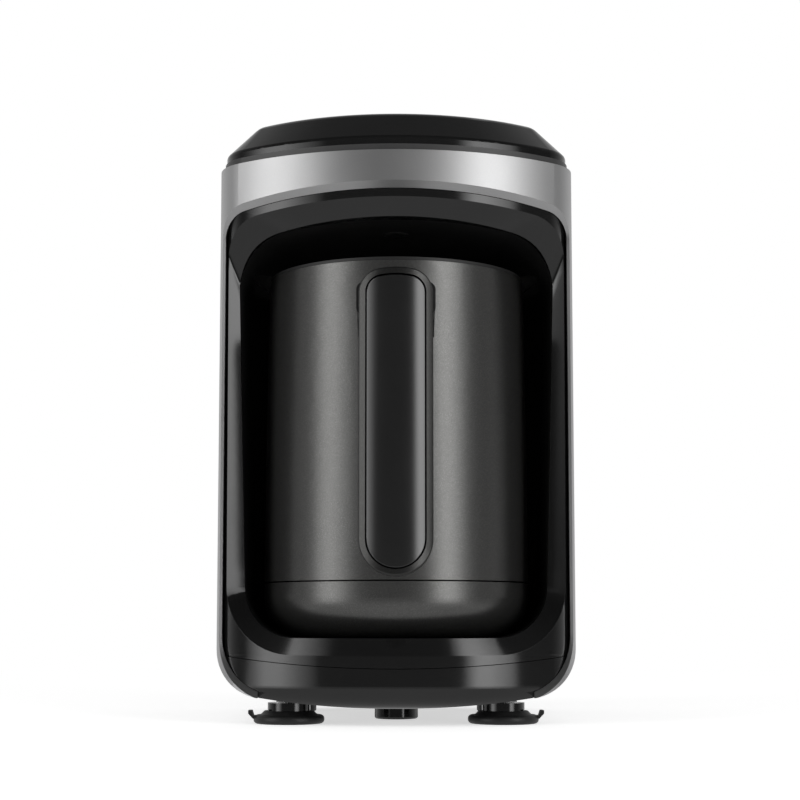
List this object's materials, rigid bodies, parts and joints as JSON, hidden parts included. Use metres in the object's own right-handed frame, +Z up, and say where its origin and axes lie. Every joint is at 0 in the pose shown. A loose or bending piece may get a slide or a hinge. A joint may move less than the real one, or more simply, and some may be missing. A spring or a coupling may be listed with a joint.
{
  "type": "electric turkish coffee maker",
  "caption": "Bowed silver and black machine with a tall open chamber, a pull-out heated pot with a vertical handle and side lips, and push buttons on a chamfered lid.",
  "frame": {"origin": "on the table, under the middle of the whole machine with its handle and cord gland", "axes": "+Z up, -Y towards the user, +X to the right as seen by the user facing the machine"},
  "size_m": [0.15, 0.2034, 0.2546],
  "materials": {
    "silver_paint": "satin",
    "gloss_black": "gloss",
    "matte_black": "matte",
    "trim_grey": "satin",
    "pot_anthracite": "satin",
    "steel": "brushed",
    "element_steel": "matte",
    "plate_aluminium": "satin",
    "contact_brass": "satin",
    "screw_steel": "satin",
    "rubber_black": "matte",
    "silicone": "matte",
    "board_green": "satin",
    "part_dark": "matte",
    "relay_case": "satin",
    "lens_clear": "gloss",
    "lens_dark": "gloss",
    "led_white": "gloss"
  },
  "bodies": {
    "housing": {"outer_shell": "silver_paint", "rear_cover": "matte_black", "front_bezel": "gloss_black", "chamber_liner": "matte_black", "base_tray": "gloss_black", "lid_trim": "trim_grey", "top_lid": "gloss_black", "upper_chassis": "matte_black", "control_board": "board_green", "coffee_key_dome": "silicone", "milk_key_dome": "silicone", "slow_brew_key_dome": "silicone", "indicator_lenses": "lens_clear", "indicator_leds": "led_white", "buzzer": "part_dark", "foam_sensor": "part_dark", "sensor_window": "lens_dark", "power_board": "board_green", "transformer": "part_dark", "relay": "relay_case", "filter_capacitor": "part_dark", "socket_block": "matte_black", "socket_contacts": "contact_brass", "cord_gland": "rubber_black", "cord_clamp": "matte_black", "clamp_screws": "screw_steel", "suction_cups": "rubber_black", "cup_posts": "matte_black", "rear_feet": "rubber_black", "centre_foot": "rubber_black", "base_screws": "screw_steel", "chassis_screws": "screw_steel", "lid_screws": "screw_steel", "board_screws": "screw_steel", "rear_screws": "screw_steel", "power_screws": "screw_steel"},
    "pot": {"pot_shell": "pot_anthracite", "pot_vessel": "steel", "pot_base_cap": "pot_anthracite", "heat_plate": "plate_aluminium", "heating_element": "element_steel", "thermostat": "part_dark", "plug_shroud": "matte_black", "plug_pins": "contact_brass", "handle_grip": "matte_black", "handle_trim": "pot_anthracite", "handle_panel": "gloss_black", "handle_bracket": "matte_black", "handle_screws": "screw_steel", "bracket_screws": "screw_steel"},
    "coffee_button": {"coffee_button": "gloss_black"},
    "milk_button": {"milk_button": "gloss_black"},
    "slow_brew_button": {"slow_brew_button": "gloss_black"}
  },
  "joints": [
    {"name": "pot_pull_out", "type": "slide", "parent": "housing", "child": "pot", "axis": [0, -1, 0], "range_m": [0, 0.14]},
    {"name": "coffee_button_press", "type": "slide", "parent": "housing", "child": "coffee_button", "axis": [0, 0, -1], "range_m": [0, 0.0008], "stiffness_N_per_m": 1500, "springref_m": -0.0006, "deforming": ["coffee_key_dome"]},
    {"name": "milk_button_press", "type": "slide", "parent": "housing", "child": "milk_button", "axis": [0, 0, -1], "range_m": [0, 0.0008], "stiffness_N_per_m": 1500, "springref_m": -0.0006, "deforming": ["milk_key_dome"]},
    {"name": "slow_brew_button_press", "type": "slide", "parent": "housing", "child": "slow_brew_button", "axis": [0, 0, -1], "range_m": [0, 0.0008], "stiffness_N_per_m": 1500, "springref_m": -0.0006, "deforming": ["slow_brew_key_dome"]}
  ]
}
